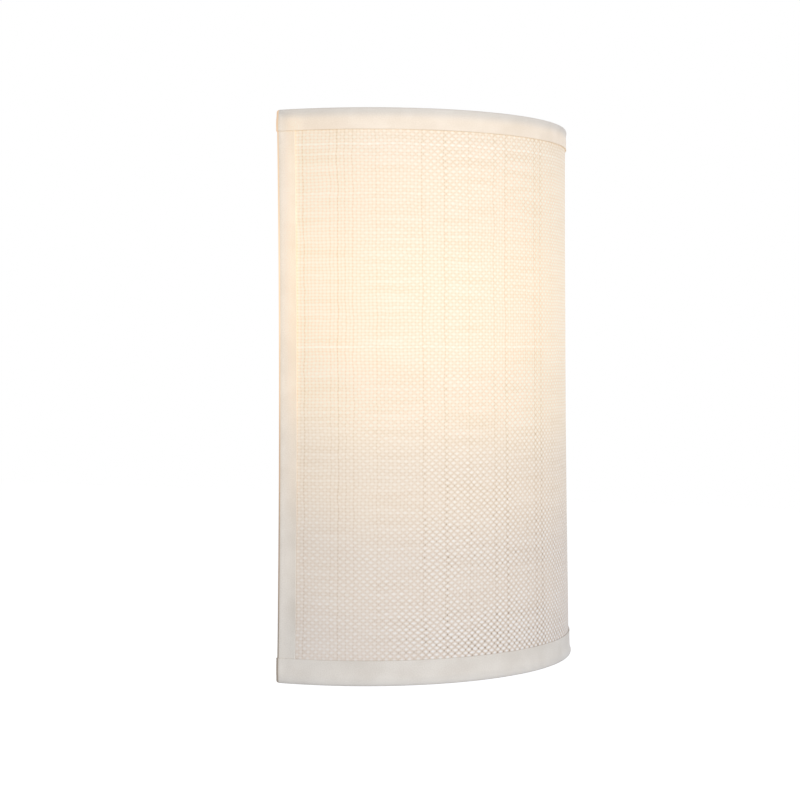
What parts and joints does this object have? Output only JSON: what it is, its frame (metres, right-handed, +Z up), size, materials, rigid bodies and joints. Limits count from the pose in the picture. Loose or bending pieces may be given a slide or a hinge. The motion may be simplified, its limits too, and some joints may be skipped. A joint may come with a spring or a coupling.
{
  "type": "fabric shade wall light",
  "caption": "Half-round woven fabric shade, taller than wide, hemmed over a wire frame and held by knurled nuts in front of a steel wall pan with an upright screw-cap lamp.",
  "frame": {"origin": "centre of the crossbar on the wall face, behind the middle of the shade", "axes": "+Z up, +Y into the wall, -Y out into the room, +X to the right seen from the front"},
  "size_m": [0.236, 0.1211, 0.305],
  "materials": {
    "shade_cloth": "coarse plain weave of undyed yarn, matt",
    "hem_cloth": "fine plain cloth folded over wire, matt",
    "shade_liner": "satin white styrene sheet",
    "white_wire": "white powder coat",
    "white_steel": "white powder coat",
    "zinc_steel": "bright zinc plate",
    "nickel_brass": "bright nickel plate",
    "aluminium": "plain",
    "white_moulding": "moulded heat-resisting plastic",
    "ceramic": "unglazed steatite",
    "brass": "plain",
    "lead_black": "smooth wire insulation",
    "lead_white": "smooth wire insulation",
    "lead_green": "smooth wire insulation",
    "rubber": "moulded",
    "block_nylon": "moulded nylon",
    "opal_dome": "opal diffuser, lit",
    "bulb_white": "white thermoplastic",
    "black_glass": "fused insulator glass"
  },
  "bodies": {
    "root": {"arm_nipple": "zinc_steel", "arm_rivets": "aluminium", "block_screw": "zinc_steel", "centre_contact": "brass", "earth_lead": "lead_green", "earth_nut": "zinc_steel", "earth_ring": "brass", "earth_stud": "zinc_steel", "holder_screws": "zinc_steel", "holder_terminals": "brass", "lamp_arm": "white_steel", "lampholder_barrel": "white_moulding", "lampholder_dome": "white_moulding", "lead_grommet": "rubber", "live_lead": "lead_black", "neutral_lead": "lead_white", "nipple_nut": "zinc_steel", "pan_screws": "zinc_steel", "screw_shell": "brass", "shade_studs": "zinc_steel", "terminal_block": "block_nylon", "terminal_carrier": "ceramic", "terminal_inserts": "brass", "terminal_screws": "zinc_steel", "wall_bracket": "zinc_steel", "wall_pan": "white_steel"},
    "shade": {"shade_fabric": "shade_cloth", "shade_liner": "shade_liner", "top_binding": "hem_cloth", "bottom_binding": "hem_cloth", "left_side_binding": "hem_cloth", "right_side_binding": "hem_cloth", "top_ring": "white_wire", "bottom_ring": "white_wire", "side_wires": "white_wire", "upper_hanger": "white_steel", "lower_hanger": "white_steel"},
    "upper_nut": {"upper_thumb_nut": "nickel_brass"},
    "lower_nut": {"lower_thumb_nut": "nickel_brass"},
    "lamp": {"bulb_board": "aluminium", "bulb_body": "bulb_white", "bulb_cap": "nickel_brass", "bulb_contact": "brass", "bulb_dome": "opal_dome", "bulb_insulator": "black_glass"}
  },
  "joints": [
    {"name": "shade_lift", "type": "slide", "parent": "root", "child": "shade", "axis": [0, -1, 0], "range_m": [0, 0.15]},
    {"name": "upper_nut_turn", "type": "hinge", "parent": "shade", "child": "upper_nut", "pos_m": [0, -0.028, 0.105], "axis": [0, -1, 0], "continuous": true},
    {"name": "lower_nut_turn", "type": "hinge", "parent": "shade", "child": "lower_nut", "pos_m": [0, -0.028, -0.105], "axis": [0, -1, 0], "continuous": true},
    {"name": "lamp_turn", "type": "hinge", "parent": "root", "child": "lamp", "pos_m": [0, -0.064, 0], "axis": [0, 0, 1], "continuous": true}
  ]
}
